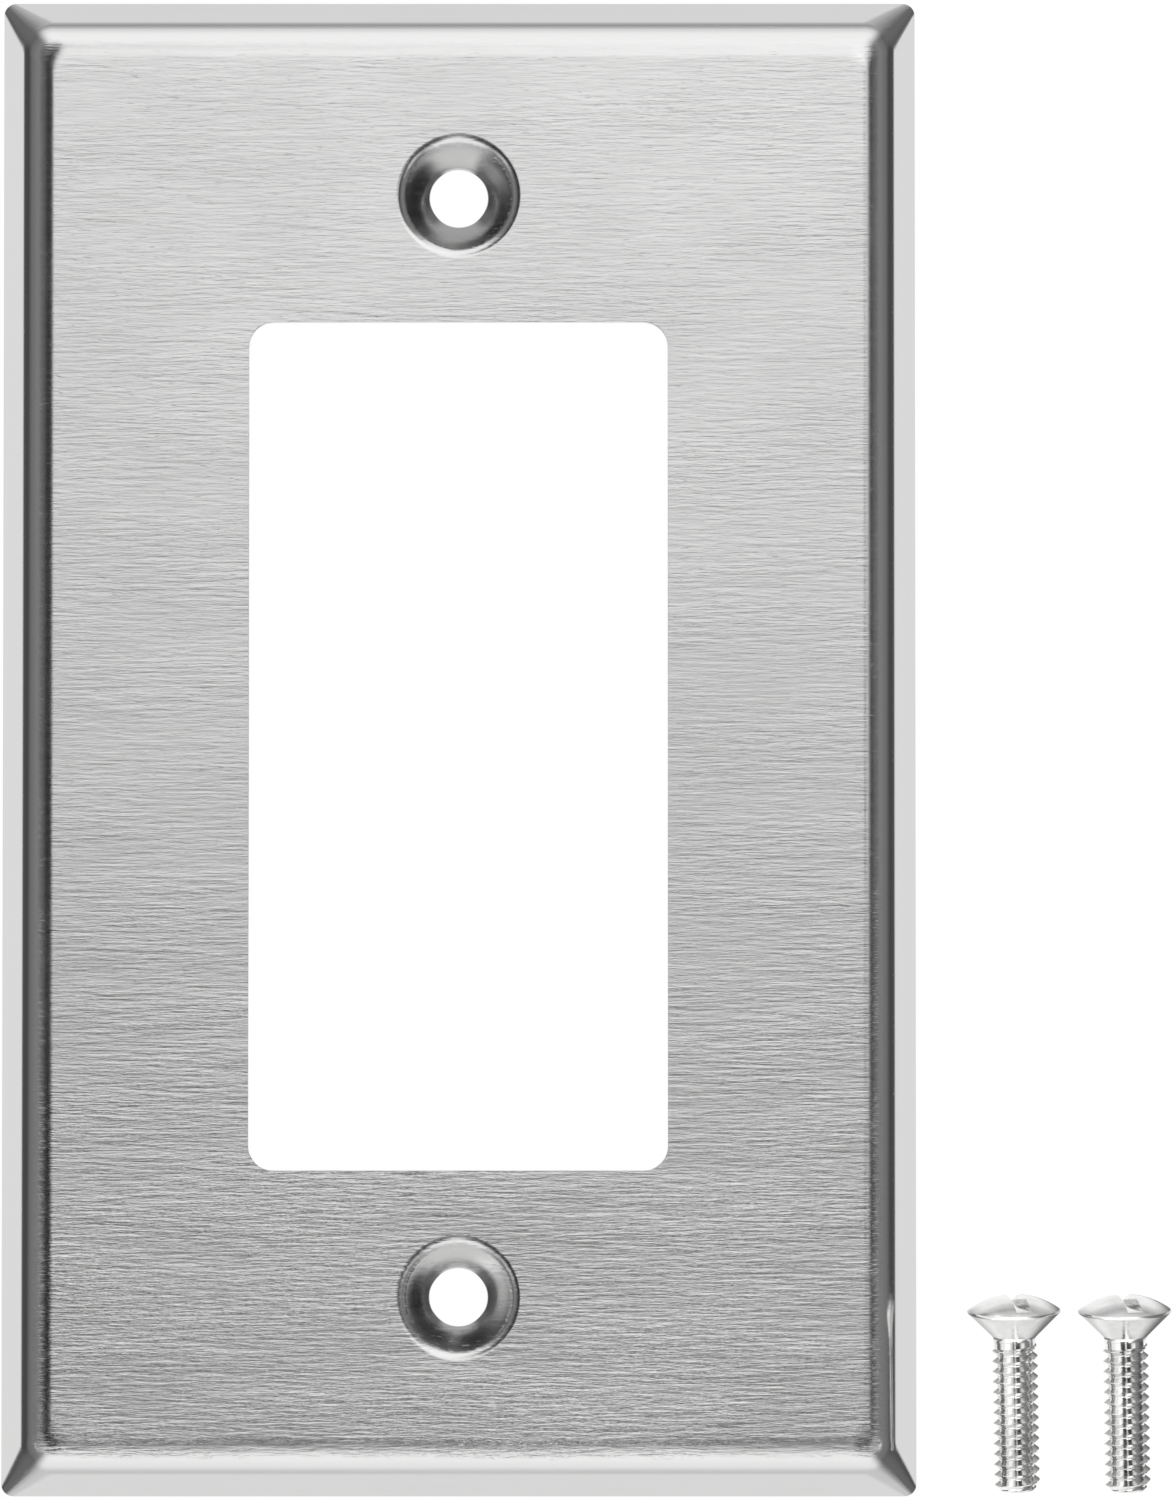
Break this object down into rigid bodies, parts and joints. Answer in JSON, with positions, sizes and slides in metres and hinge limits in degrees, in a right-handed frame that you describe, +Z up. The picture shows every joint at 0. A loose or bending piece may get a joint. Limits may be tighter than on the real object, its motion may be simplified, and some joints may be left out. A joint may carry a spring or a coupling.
{
  "type": "wall plate cover",
  "caption": "Pressed steel wall plate with a rectangular device opening and countersunk holes, with its slotted oval-head mounting screws lying beside it.",
  "frame": {"origin": "centre of the plate in the wall plane, the plane of the rim's flat back edge", "axes": "+Z up along the plate's long side, +Y into the wall, so the face looks towards -Y"},
  "size_m": [0.0891, 0.007, 0.1142],
  "materials": {
    "brushed_sheet": "brushed across the width, satin",
    "bright_plating": "bright nickel plating"
  },
  "bodies": {
    "plate": {"faceplate": "brushed_sheet"},
    "left_screw": {"mounting_screw_left": "bright_plating"},
    "right_screw": {"mounting_screw_right": "bright_plating"}
  },
  "joints": [
    {"name": "left_screw_lift", "type": "slide", "parent": "plate", "child": "left_screw", "axis": [0, -1, 0], "range_m": [0, 0.03]},
    {"name": "right_screw_lift", "type": "slide", "parent": "plate", "child": "right_screw", "axis": [0, -1, 0], "range_m": [0, 0.03]}
  ]
}
